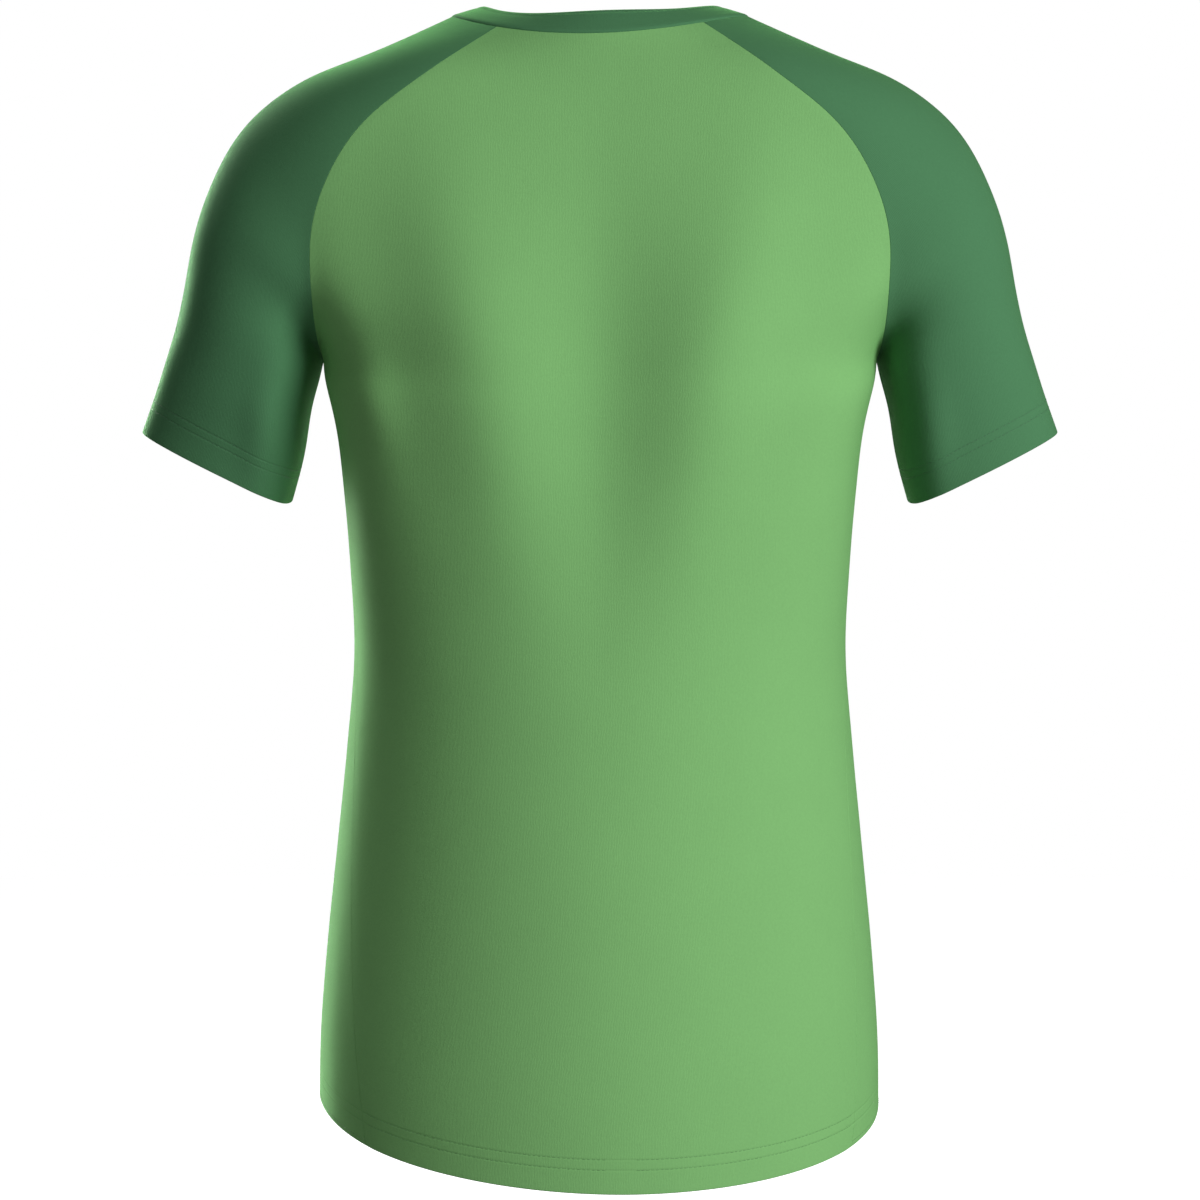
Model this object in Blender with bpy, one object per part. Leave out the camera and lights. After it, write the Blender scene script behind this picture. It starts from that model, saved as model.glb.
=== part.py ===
"""Raglan sports t-shirt, filled out as if worn, with nobody in it.

Metres, +Z up. The front faces -Y, the back faces +Y and the wearer's left is +X.
The origin is midway between the two sides of the neck, where the shoulders hold the shirt.
Five cut pieces are solids: back, front, two raglan sleeves and the folded neck band.
"""

import math
from collections import namedtuple

import bmesh
import bpy
import numpy as np
from mathutils import Vector

# Cloth
WALL = 0.0015               # knit with its lie over the body, as a rigid wall
HEM_WALL = 0.0026           # turned hem, two layers
HEM_DEPTH = 0.022           # height of the turned hem above the edge
CUFF_DEPTH = 0.024          # height of the turned cuff above its edge
HEM_STEP = 0.002            # slope from the hem's two layers to one
SEAM_GAP = 0.0003           # room between two pieces at a seam

# Neck
NECK_HALF_WIDTH = 0.092     # neck seam, centre to side
NECK_BACK = 0.072           # neck seam, shoulder line to centre back
NECK_FRONT = 0.092
NECK_SIDE_HEIGHT = 0.0012
NECK_BACK_DROP = 0.0222     # centre back below the side of the neck
NECK_FRONT_DROP = 0.100
NECK_BACK_POWER = 1.6       # how late the neck seam drops towards the centre
NECK_FRONT_POWER = 1.4
BACK_CORNER = math.radians(42.4)    # where the raglan seams reach the neck, from centre back
FRONT_CORNER = math.radians(55.0)   # and from centre front
NECK_TILT = 0.036           # slope of the back neck, higher on the wearer's right
NECK_TILT_DEPTH = 0.05      # how far behind the shoulder line that slope is full
NECK_TILT_FADE = 0.12       # and how far down it fades out
NECK_REACH = 1.5            # stations over which the neck's curve fades into the yoke

# Neck band
BAND_WALL = 0.0024
BAND_SIDE_RUN = 0.021       # how far the band leans in over the shoulder
BAND_SIDE_RISE = 0.0072
BAND_BACK_RUN = 0.012
BAND_BACK_RISE = 0.0163
BAND_FRONT_RUN = 0.012
BAND_FRONT_RISE = 0.017

# Body. A round of 1 gives an ellipse, and less a squarer section.
BACK_HEM_DROP = 0.0385      # centre back hem below the hem's sides
FRONT_HEM_DROP = 0.016
UNDERARM_SAG = 0.036        # rows of the body run this much lower at the centre than at the sides
DROP_POWER = 0.85            # under 1, the rows run level for longer at the centre
SEAM_TURN = math.radians(33.0)      # the side seams drift this far round to the back by the hem
HEM_TWIST = math.radians(5.0)       # the shirt hangs turned by this much at the hem
HEM_TILT = 0.017                    # slope of the hem, lower on the wearer's right
TWIST_TOP = -0.40                   # the body is straight above this height
TWIST_POWER = 1.5

Section = namedtuple("Section", "height half_width back front back_round front_round")
BODY = (
    Section(-0.209, 0.1700, 0.1200, 0.1370, 0.64, 0.87),
    Section(-0.222, 0.1658, 0.1195, 0.1370, 0.64, 0.87),
    Section(-0.235, 0.1628, 0.1190, 0.1365, 0.66, 0.88),
    Section(-0.284, 0.1573, 0.1160, 0.1310, 0.76, 0.93),
    Section(-0.334, 0.1540, 0.1150, 0.1245, 0.90, 0.98),
    Section(-0.383, 0.1518, 0.1175, 0.1190, 0.98, 1.01),
    Section(-0.440, 0.1560, 0.1225, 0.1170, 1.02, 1.03),
    Section(-0.500, 0.1620, 0.1285, 0.1180, 1.04, 1.04),
    Section(-0.569, 0.1688, 0.1345, 0.1200, 1.04, 1.04),
    Section(-0.620, 0.1727, 0.1380, 0.1210, 1.04, 1.04),
    Section(-0.661, 0.1735, 0.1390, 0.1210, 1.04, 1.04),
)

# Raglan seams and the yoke between them, station 0 at the neck to station 5 at the underarm.
# The sweep is the part of a quarter round that the row takes from the centre to the seam.
Yoke = namedtuple("Yoke", "seam_x seam_y seam_z centre_y centre_z sweep round")
BACK_YOKE = (
    Yoke(0.0627, 0.0530, -0.0128, 0.0720, -0.0217, 42, 0.87),
    Yoke(0.1028, 0.0830, -0.0455, 0.0870, -0.0560, 38, 0.87),
    Yoke(0.1460, 0.0890, -0.0830, 0.0995, -0.0980, 30, 0.84),
    Yoke(0.1700, 0.0875, -0.1330, 0.1095, -0.1490, 38, 0.76),
    Yoke(0.1705, 0.0745, -0.1830, 0.1165, -0.1990, 60, 0.68),
    Yoke(0.1700, 0.0000, -0.2090, 0.1200, -0.2450, 90, 0.64),
)
FRONT_YOKE = (
    Yoke(0.0762, -0.0528, -0.0440, -0.0920, -0.0980, 55, 0.87),
    Yoke(0.1080, -0.0810, -0.0690, -0.1080, -0.1260, 45, 0.87),
    Yoke(0.1420, -0.0950, -0.1010, -0.1205, -0.1550, 38, 0.87),
    Yoke(0.1630, -0.0905, -0.1400, -0.1305, -0.1850, 42, 0.87),
    Yoke(0.1705, -0.0705, -0.1840, -0.1360, -0.2150, 62, 0.87),
    Yoke(0.1700, 0.0000, -0.2090, -0.1370, -0.2450, 90, 0.87),
)

# Sleeve rows at the same stations, and on to the cuff at station 8. Each row leaves the seam
# along its lift, and passes the crown (the outer line of shoulder and arm) with its reach.
# A row's round is 1 for a plain arc, and less where it bends later and faster.
Lift = namedtuple("Lift", "x y z reach round")
BACK_LIFT = (
    Lift(0.0193, -0.0137, 0.0060, 0.0202, 1.00),
    Lift(0.0260, -0.0130, 0.0160, 0.0300, 1.00),
    Lift(0.0290, -0.0100, 0.0220, 0.0430, 1.00),
    Lift(0.0330, -0.0060, 0.0200, 0.0600, 0.95),
    Lift(0.0390, 0.0170, 0.0160, 0.0770, 0.82),
    Lift(0.0050, 0.1070, 0.0020, 0.0945, 0.67),
    Lift(-0.0010, 0.1010, -0.0030, 0.0880, 0.61),
    Lift(-0.0010, 0.0950, -0.0060, 0.0780, 0.61),
    Lift(0.0000, 0.0880, -0.0060, 0.0740, 0.61),
)
FRONT_LIFT = (
    Lift(0.0200, 0.0180, 0.0250, 0.0180, 1.00),
    Lift(0.0220, 0.0150, 0.0265, 0.0290, 1.00),
    Lift(0.0270, 0.0100, 0.0300, 0.0430, 1.00),
    Lift(0.0320, 0.0060, 0.0270, 0.0600, 0.95),
    Lift(0.0390, -0.0120, 0.0180, 0.0800, 0.88),
    Lift(0.0060, -0.1020, 0.0020, 0.1030, 0.78),
    Lift(0.0000, -0.0950, 0.0030, 0.0960, 0.72),
    Lift(0.0000, -0.0860, 0.0060, 0.0860, 0.72),
    Lift(0.0000, -0.0800, 0.0100, 0.0800, 0.72),
)
Crown = namedtuple("Crown", "x y z")
CROWN = (
    Crown(0.0920, 0.0000, 0.0012),
    Crown(0.1388, 0.0000, -0.0216),
    Crown(0.1855, 0.0000, -0.0408),
    Crown(0.2210, 0.0000, -0.0706),
    Crown(0.2434, 0.0000, -0.1165),
    Crown(0.2553, 0.0000, -0.1655),
    Crown(0.2625, -0.0030, -0.1950),
    Crown(0.2722, -0.0070, -0.2240),
    Crown(0.2832, -0.0120, -0.2528),
)
INNER = (                   # inner line of the sleeve, underarm (station 5) to cuff (station 8)
    Crown(0.1700, 0.0000, -0.2090),
    Crown(0.1790, -0.0030, -0.2395),
    Crown(0.1837, -0.0070, -0.2700),
    Crown(0.1915, -0.0120, -0.2985),
)
UNDERARM = 5
CUFF = 8

# Soft drape over the shoulder blades
RIDGE_HEIGHT = 0.009
RIDGE_OUT = 0.072           # each ridge from the centre back
RIDGE_WIDTH = 0.036
RIDGE_MIDDLE = -0.218       # height of the ridges' middle
RIDGE_LENGTH = 0.115
RIDGE_SPREAD = 0.18          # the ridges part by this much each way for every metre upwards
VALLEY_OUT = 1.62           # the outer valleys, as a share of the ridges' place
VALLEY_SHARE = 0.40         # depth of the outer valleys, as a share of the ridges' height
SPINE_SHARE = 0.9           # and of the valley over the spine
DRAPE_FADE = 6              # how late the drape fades out towards the seam

# Mesh density
HALF_COLUMNS = 9            # of the back or front, centre to seam
SLEEVE_COLUMNS = 7          # seam to crown
YOKE_ROWS = 10
FINE_STEPS = 60             # of half a row, before its points are spaced out evenly
BODY_ROWS = 15
SLEEVE_ROWS = 4
SHARP = math.radians(50)
LOWEST_NECK = -0.15         # free edges above this height are the neck's, those below are hems
MIN_PULL = 0.5              # keeps the seam's room small where two borders fold back on each other

DARK_GREEN = (0.064, 0.197, 0.085, 1.0)
LIGHT_GREEN = (0.200, 0.455, 0.155, 1.0)


def spline(values, at, knots=None):
    """Smooth curve through table values, read at one or more places."""
    values = np.asarray(values, float)
    knots = np.arange(len(values), dtype=float) if knots is None else np.asarray(knots, float)
    slopes = np.gradient(values, knots, axis=0)
    i = int(np.clip(np.searchsorted(knots, at) - 1, 0, len(knots) - 2))
    step = knots[i + 1] - knots[i]
    t = (at - knots[i]) / step
    return ((2 * t**3 - 3 * t**2 + 1) * values[i] + (t**3 - 2 * t**2 + t) * step * slopes[i]
            + (3 * t**2 - 2 * t**3) * values[i + 1] + (t**3 - t**2) * step * slopes[i + 1])


def soft_step(low, high, value):
    t = min(max((value - low) / (high - low), 0.0), 1.0)
    return t * t * (3 - 2 * t)


def neck_point(angle):
    """Point of the neck seam: angle 0 at centre back, pi at centre front."""
    along = math.cos(angle)
    reach, drop, power = NECK_BACK, NECK_BACK_DROP, NECK_BACK_POWER
    if along < 0:
        reach, drop, power = NECK_FRONT, NECK_FRONT_DROP, NECK_FRONT_POWER
    return np.array((NECK_HALF_WIDTH * math.sin(angle), reach * along,
                     NECK_SIDE_HEIGHT - drop * abs(along) ** power))


def raglan_seam(is_back, station):
    """Point of a raglan seam. The two seams meet smoothly at the underarm."""
    table, other = (BACK_YOKE, FRONT_YOKE) if is_back else (FRONT_YOKE, BACK_YOKE)
    return spline([row[:3] for row in table + (other[-2],)], station)


def neck_fade(station):
    return max(0.0, 1 - station / NECK_REACH) ** 2


def drape(point, share):
    """Two soft ridges that hang from the shoulder blades, with shallow valleys beside them."""
    x, y, z = point
    out = RIDGE_OUT + RIDGE_SPREAD * (z - RIDGE_MIDDLE)
    ridge = math.exp(-((abs(x) - out) / RIDGE_WIDTH) ** 2)
    valley = math.exp(-((abs(x) - VALLEY_OUT * out) / RIDGE_WIDTH) ** 2)
    spine = math.exp(-(x / RIDGE_WIDTH) ** 2)
    along = math.exp(-((z - RIDGE_MIDDLE) / RIDGE_LENGTH) ** 2)
    lift = RIDGE_HEIGHT * along * (ridge - VALLEY_SHARE * valley - SPINE_SHARE * spine)
    return np.array((x, y + share * lift, z))


def yoke_point(is_back, station, u):
    """Back or front above the underarm: u runs from 0 at the centre to 1 at the raglan seam."""
    table = BACK_YOKE if is_back else FRONT_YOKE
    seam = raglan_seam(is_back, station)
    centre_y, centre_z, sweep, power = spline([row[3:] for row in table], station)
    sweep = math.radians(min(sweep, 90.0))
    bow = (1 - math.cos(u * sweep) ** power) / (1 - max(math.cos(sweep), 0.0) ** power)
    x = seam[0] * (math.sin(u * sweep) / math.sin(sweep)) ** power
    return np.array((x, centre_y + (seam[1] - centre_y) * bow, centre_z + (seam[2] - centre_z) * bow))


def body_point(is_back, height, u):
    """Back or front below the underarm: u runs from 0 at the centre to 1 at the side seam."""
    knots = [-row.height for row in BODY]
    half_width, back, front, *powers = spline([row[1:] for row in BODY], -height, knots)
    depth = (BODY[0].height - height) / (BODY[0].height - BODY[-1].height)
    seam_angle = math.pi / 2 - SEAM_TURN * depth
    angle = u * seam_angle if is_back else math.pi - u * (math.pi - seam_angle)
    power = powers[0] if math.cos(angle) > 0 else powers[1]
    across = math.sin(angle) ** power
    along = abs(math.cos(angle)) ** power
    if math.cos(angle) > 0:
        drop = UNDERARM_SAG + (BACK_HEM_DROP - UNDERARM_SAG) * depth
        return np.array((half_width * across, back * along, height - drop * along ** DROP_POWER))
    drop = UNDERARM_SAG + (FRONT_HEM_DROP - UNDERARM_SAG) * depth
    return np.array((half_width * across, -front * along, height - drop * along ** DROP_POWER))


def settled(point):
    """The shirt as it hangs: its lower part turned and tilted, and its back neck a little aslant."""
    depth = max(0.0, TWIST_TOP - point[2]) / (TWIST_TOP - BODY[-1].height)
    share = min(depth, 1.0) ** TWIST_POWER
    turn = HEM_TWIST * share
    x, y, z = point
    near_neck = (math.exp(-(x / NECK_HALF_WIDTH) ** 2) * soft_step(0.0, NECK_TILT_DEPTH, y)
                 * soft_step(-NECK_TILT_FADE, 0.0, z))
    slope = HEM_TILT * share - NECK_TILT * near_neck
    return np.array((x * math.cos(turn) - y * math.sin(turn), x * math.sin(turn) + y * math.cos(turn),
                     z + slope * x))


def panel_point(is_back, row, u):
    kind, place = row
    if kind == "yoke":
        point = yoke_point(is_back, place, u)
        corner = BACK_CORNER if is_back else FRONT_CORNER
        neck = neck_point(u * corner if is_back else math.pi - u * corner)
        point += neck_fade(place) * (neck - yoke_point(is_back, 0, u))
    else:
        point = body_point(is_back, place, u)
    return point


def even_half(is_back, row, columns):
    """Half a row of the back or front, centre to seam, as evenly spaced points."""
    fine = np.array([panel_point(is_back, row, i / FINE_STEPS) for i in range(FINE_STEPS + 1)])
    gone = np.concatenate(((0.0,), np.cumsum(np.linalg.norm(np.diff(fine, axis=0), axis=1))))
    shares = np.linspace(0.0, 1.0, columns + 1)
    half = np.transpose([np.interp(shares * gone[-1], gone, fine[:, k]) for k in range(3)])
    if is_back:
        half = [drape(point, 1 - share ** DRAPE_FADE) for point, share in zip(half, shares)]
    return list(half)


def panel_rows():
    """Rows of the back and front from neck to hem, with closer rows where the turned hem starts."""
    rows = [("yoke", UNDERARM * i / YOKE_ROWS) for i in range(YOKE_ROWS + 1)]
    top, bottom = BODY[0].height, BODY[-1].height
    last = bottom + HEM_DEPTH + HEM_STEP
    rows += [("body", top + (last - top) * i / BODY_ROWS) for i in range(1, BODY_ROWS + 1)]
    return rows + [("body", bottom + HEM_DEPTH), ("body", bottom)]


def panel_grid(is_back):
    """Whole back or front, left edge to right edge."""
    grid = []
    for row in panel_rows():
        half = even_half(is_back, row, HALF_COLUMNS)
        grid.append([settled(p) for p in [p * (-1, 1, 1) for p in half[:0:-1]] + half])
    return grid


def sleeve_point(is_back, station, w):
    """Left sleeve: w runs from 0 at the seam to 1 at the crown."""
    if station <= UNDERARM:
        start = raglan_seam(is_back, station)
    else:
        start = spline(INNER, station - UNDERARM)
    lift = spline(BACK_LIFT if is_back else FRONT_LIFT, station)
    crown = spline(CROWN, station)
    before = crown + (0, lift[3] if is_back else -lift[3], 0)
    if station > UNDERARM:
        before = before + (0, 0, lift[2])
    after = start + lift[:3]
    chord = start + (3 * w**2 - 2 * w**3) * (crown - start)
    bulge = 3 * w * (1 - w)**2 * (after - start) + 3 * w**2 * (1 - w) * (before - crown)
    return chord + bulge * (4 * w * (1 - w)) ** (lift[4] - 1) if 0 < w < 1 else chord


def sleeve_stations():
    """Stations of the sleeve's rows, with closer rows where the turned cuff starts."""
    stations = [UNDERARM * i / YOKE_ROWS for i in range(YOKE_ROWS + 1)]
    length = math.dist(INNER[0], INNER[-1])
    last = CUFF - (CUFF - UNDERARM) * (CUFF_DEPTH + HEM_STEP) / length
    hem = CUFF - (CUFF - UNDERARM) * CUFF_DEPTH / length
    stations += [UNDERARM + (last - UNDERARM) * i / SLEEVE_ROWS for i in range(1, SLEEVE_ROWS + 1)]
    return stations + [hem, CUFF]


def sleeve_grid(side):
    """One sleeve, back seam to front seam; side is 1 for the wearer's left and -1 for the right."""
    steps = [i / SLEEVE_COLUMNS for i in range(SLEEVE_COLUMNS + 1)]
    back_arc = math.pi / 2 - BACK_CORNER
    front_arc = math.pi / 2 - FRONT_CORNER
    grid = []
    for station in sleeve_stations():
        back = [sleeve_point(True, station, w) + neck_fade(station)
                * (neck_point(BACK_CORNER + back_arc * w) - sleeve_point(True, 0, w)) for w in steps]
        front = [sleeve_point(False, station, w) + neck_fade(station)
                 * (neck_point(math.pi - FRONT_CORNER - front_arc * w) - sleeve_point(False, 0, w))
                 for w in steps]
        grid.append([settled(p * (side, 1, 1)) for p in back + front[-2::-1]])
    return grid


PIECES = ("back", "front", "sleeve_left", "sleeve_right")


def add_grid(mesh, grid, piece):
    rows = [[mesh.verts.new(p) for p in row] for row in grid]
    for upper, lower in zip(rows, rows[1:]):
        for i in range(len(upper) - 1):
            face = mesh.faces.new((upper[i], upper[i + 1], lower[i + 1], lower[i]))
            face.material_index = PIECES.index(piece)


def sewn_shirt():
    """The whole outer surface as one mesh, each face marked with its piece."""
    mesh = bmesh.new()
    add_grid(mesh, panel_grid(True), "back")
    add_grid(mesh, panel_grid(False), "front")
    add_grid(mesh, sleeve_grid(1), "sleeve_left")
    add_grid(mesh, sleeve_grid(-1), "sleeve_right")
    bmesh.ops.remove_doubles(mesh, verts=mesh.verts, dist=0.00001)
    bmesh.ops.recalc_face_normals(mesh, faces=mesh.faces)
    rearmost = max(mesh.faces, key=lambda face: face.calc_center_median().y)
    if rearmost.normal.y < 0:
        bmesh.ops.reverse_faces(mesh, faces=mesh.faces)
    mesh.normal_update()
    mesh.verts.index_update()
    return mesh


def inward(edge, face):
    """Unit vector in the face's plane, square to the edge and into the face."""
    along = (edge.verts[1].co - edge.verts[0].co).normalized()
    across = face.normal.cross(along).normalized()
    middle = (edge.verts[0].co + edge.verts[1].co) / 2
    return across if across.dot(face.calc_center_median() - middle) > 0 else -across


def is_hem(edge):
    """Hem and cuff edges are free; every other border is a seam."""
    if not edge.is_boundary:
        return False
    return max(v.co.z for v in edge.verts) < LOWEST_NECK


def seam_room(border):
    """How far each border point moves into its piece, so that neighbours stay apart."""
    pulls = {}
    for edge, face in border:
        if is_hem(edge):
            continue
        for vert in edge.verts:
            pulls.setdefault(vert, []).append(inward(edge, face))
    room = {}
    for vert, directions in pulls.items():
        total = sum(directions[1:], directions[0])
        room[vert] = total * (SEAM_GAP / 2 * len(directions) / max(total.length_squared, MIN_PULL))
    return room


def wall_at(vert):
    """Wall thickness: two layers along hem and cuffs."""
    for edge in vert.link_edges:
        if is_hem(edge):
            return HEM_WALL
    return WALL


def new_material(name, colour):
    material = bpy.data.materials.new(name)
    material.use_nodes = True
    shader = material.node_tree.nodes["Principled BSDF"]
    shader.inputs["Base Color"].default_value = colour
    shader.inputs["Roughness"].default_value = 0.85
    shader.inputs["Metallic"].default_value = 0.0
    material.diffuse_color = colour
    return material


def add_object(name, mesh, colour, collection):
    data = bpy.data.meshes.new(name)
    mesh.to_mesh(data)
    mesh.free()
    data.shade_smooth()
    data.set_sharp_from_angle(angle=SHARP)
    data.materials.append(new_material(name + "_cloth", colour))
    item = bpy.data.objects.new(name, data)
    collection.objects.link(item)
    return item


def add_rim(solid, outer, inner, a, b):
    """Two faces between outer and inner side. Neighbours share the diagonal, so twisted rims stay apart."""
    if a.index < b.index:
        triangles = (outer[b], outer[a], inner[b]), (outer[a], inner[a], inner[b])
    else:
        triangles = (outer[b], outer[a], inner[a]), (outer[b], inner[a], inner[b])
    for triangle in triangles:
        solid.faces.new(triangle)


def piece_solid(shirt, piece):
    """Closed wall of one piece: its outer faces, the same faces moved inwards, and the rim."""
    faces = [f for f in shirt.faces if f.material_index == PIECES.index(piece)]
    chosen = set(faces)
    border = [(edge, next(f for f in edge.link_faces if f in chosen))
              for edge in {e for f in faces for e in f.edges}
              if sum(f in chosen for f in edge.link_faces) == 1]
    room = seam_room(border)
    solid = bmesh.new()
    outer, inner = {}, {}
    for vert in {v for f in faces for v in f.verts}:
        place = vert.co + room[vert] if vert in room else vert.co
        outer[vert] = solid.verts.new(place)
        inner[vert] = solid.verts.new(place - vert.normal * wall_at(vert))
    for face in faces:
        solid.faces.new([outer[v] for v in face.verts])
        solid.faces.new([inner[v] for v in reversed(face.verts)])
    for edge, face in border:
        loop = next(l for l in face.loops if l.edge == edge)
        add_rim(solid, outer, inner, loop.vert, loop.link_loop_next.vert)
    return solid


# The folded band in section: part of the way up from the seam, and height over its outer face
BandPoint = namedtuple("BandPoint", "way out")
BAND_SECTION = (
    BandPoint(0.00, 0.0),
    BandPoint(0.18, 0.0004),
    BandPoint(0.55, 0.0005),
    BandPoint(0.90, 0.0001),
    BandPoint(1.00, -0.0008),
    BandPoint(1.00, -0.0016),
    BandPoint(0.90, -BAND_WALL),
    BandPoint(0.45, -BAND_WALL),
    BandPoint(0.00, -BAND_WALL),
)


def band_lean(angle):
    """From the neck seam to the band's folded top, which leans in towards the neck."""
    side, end = math.sin(angle) ** 2, math.cos(angle) ** 2
    run, rise = (BAND_BACK_RUN, BAND_BACK_RISE) if math.cos(angle) > 0 else (BAND_FRONT_RUN, BAND_FRONT_RISE)
    run = BAND_SIDE_RUN * side + run * end
    return Vector((-run * math.sin(angle), -run * math.cos(angle), BAND_SIDE_RISE * side + rise * end))


def band_solid(shirt):
    """The neck band: a closed ring that starts from the points of the neck edge."""
    neck = [v for v in shirt.verts if v.is_boundary and v.co.z > LOWEST_NECK]
    neck.sort(key=lambda v: math.atan2(v.co.x, v.co.y))
    solid = bmesh.new()
    rings = []
    for i, vert in enumerate(neck):
        lean = band_lean(math.atan2(vert.co.x, vert.co.y))
        around = neck[(i + 1) % len(neck)].co - neck[i - 1].co
        outwards = lean.cross(around).normalized()
        ring = []
        for point in BAND_SECTION:
            normal = vert.normal.lerp(outwards, point.way).normalized()
            place = vert.co + lean * point.way + normal * point.out
            ring.append(solid.verts.new(place + lean.normalized() * SEAM_GAP / 2))
        rings.append(ring)
    for ring, following in zip(rings, rings[1:] + rings[:1]):
        for i in range(len(ring)):
            j = (i + 1) % len(ring)
            solid.faces.new((ring[i], ring[j], following[j], following[i]))
    bmesh.ops.recalc_face_normals(solid, faces=solid.faces)
    return solid


def main():
    for item in list(bpy.data.objects):
        bpy.data.objects.remove(item, do_unlink=True)
    collection = bpy.data.collections.new("sports_t_shirt")
    bpy.context.scene.collection.children.link(collection)
    shirt = sewn_shirt()
    for piece in PIECES:
        colour = DARK_GREEN if piece.startswith("sleeve") else LIGHT_GREEN
        add_object(piece, piece_solid(shirt, piece), colour, collection)
    add_object("collar", band_solid(shirt), DARK_GREEN, collection)
    shirt.free()


main()
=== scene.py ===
"""Raglan sports t-shirt, filled out as if worn: knit panels, folded neck band, turned hems and sewing.

Metres, +Z up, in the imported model's frame. The back faces +Y, and the wearer's left is +X.
The form's tables and formulas are those of the part's source; this file adds the fine cloth on them.
"""

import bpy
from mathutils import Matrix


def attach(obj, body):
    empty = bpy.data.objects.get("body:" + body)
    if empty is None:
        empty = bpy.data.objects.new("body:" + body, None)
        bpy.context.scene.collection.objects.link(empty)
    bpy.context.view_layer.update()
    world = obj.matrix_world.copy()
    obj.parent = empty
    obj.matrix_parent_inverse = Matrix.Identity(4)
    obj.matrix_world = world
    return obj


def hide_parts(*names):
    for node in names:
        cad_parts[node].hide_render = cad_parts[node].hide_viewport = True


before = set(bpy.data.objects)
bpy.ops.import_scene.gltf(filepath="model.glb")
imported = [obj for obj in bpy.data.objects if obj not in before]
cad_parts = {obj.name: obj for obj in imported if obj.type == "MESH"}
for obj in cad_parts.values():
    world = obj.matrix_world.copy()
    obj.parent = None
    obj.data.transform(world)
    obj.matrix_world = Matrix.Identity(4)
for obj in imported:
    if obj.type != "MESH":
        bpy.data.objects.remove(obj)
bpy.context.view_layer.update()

import math
from collections import namedtuple

import bmesh
import bpy
import numpy as np
from mathutils import Vector
from mathutils.bvhtree import BVHTree

# Cloth
CLOTH = 0.0009  # one layer of polyester interlock knit
TURNED = 0.0009  # the second layer, inside hem and cuffs
HEM_DEPTH = 0.022  # height of the turned hem above the edge
CUFF_DEPTH = 0.024  # height of the turned cuff above its edge
TURN_TOP = (-0.0005, 0.001)  # that layer thins out between these heights beside its upper edge
EDGE_ROUND = 0.0008  # rounding of a folded edge
EDGE_SEGMENTS = 3
SEAM_ROUND = 0.4  # share of that rounding at a seam

# Neck
NECK_HALF_WIDTH = 0.092  # neck seam, centre to side
NECK_BACK = 0.072  # neck seam, shoulder line to centre back
NECK_FRONT = 0.092
NECK_SIDE_HEIGHT = 0.0012
NECK_BACK_DROP = 0.0222  # centre back below the side of the neck
NECK_FRONT_DROP = 0.100
NECK_BACK_POWER = 1.6  # how late the neck seam drops towards the centre
NECK_FRONT_POWER = 1.4
BACK_CORNER = math.radians(42.4)  # where the raglan seams reach the neck, from centre back
FRONT_CORNER = math.radians(55.0)  # and from centre front
NECK_TILT = 0.036  # slope of the back neck, higher on the wearer's right
NECK_TILT_DEPTH = 0.05  # how far behind the shoulder line that slope is full
NECK_TILT_FADE = 0.12  # and how far down it fades out
NECK_REACH = 1.5  # stations over which the neck's curve fades into the yoke
NECK_LIMIT = -0.15  # free edges over this height are the neck seam's, lower ones are hems'

# Neck band
BAND_SIDE_RUN = 0.021  # how far the band leans in over the shoulder
BAND_SIDE_RISE = 0.0072
BAND_BACK_RUN = 0.012
BAND_BACK_RISE = 0.0163
BAND_FRONT_RUN = 0.012
BAND_FRONT_RISE = 0.017
BAND_TURN = 0.5  # how early the band turns from the cloth's facing to its own

# Body. A round of 1 gives an ellipse, and less a squarer section.
BACK_HEM_DROP = 0.0385  # centre back hem below the hem's sides
FRONT_HEM_DROP = 0.016
UNDERARM_SAG = 0.036  # rows of the body run this much lower at the centre than at the sides
DROP_POWER = 0.85  # under 1, the rows run level for longer at the centre
SEAM_TURN = math.radians(33.0)  # the side seams drift this far round to the back by the hem
HEM_TWIST = math.radians(5.0)  # the shirt hangs turned by this much at the hem
HEM_TILT = 0.017  # slope of the hem, lower on the wearer's right
TWIST_TOP = -0.40  # the body is straight above this height
TWIST_POWER = 1.5


def rows_of(kind, *rows):
    """The rows with their columns named."""
    return tuple(kind(*row) for row in rows)


Section = namedtuple("Section", "height half_width back front back_round front_round")
BODY = rows_of(Section,
    (-0.209, 0.1700, 0.1200, 0.1370, 0.64, 0.87),
    (-0.222, 0.1658, 0.1195, 0.1370, 0.64, 0.87),
    (-0.235, 0.1628, 0.1190, 0.1365, 0.66, 0.88),
    (-0.284, 0.1573, 0.1160, 0.1310, 0.76, 0.93),
    (-0.334, 0.1540, 0.1150, 0.1245, 0.90, 0.98),
    (-0.383, 0.1518, 0.1175, 0.1190, 0.98, 1.01),
    (-0.440, 0.1560, 0.1225, 0.1170, 1.02, 1.03),
    (-0.500, 0.1620, 0.1285, 0.1180, 1.04, 1.04),
    (-0.569, 0.1688, 0.1345, 0.1200, 1.04, 1.04),
    (-0.620, 0.1727, 0.1380, 0.1210, 1.04, 1.04),
    (-0.661, 0.1735, 0.1390, 0.1210, 1.04, 1.04),
)

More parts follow.
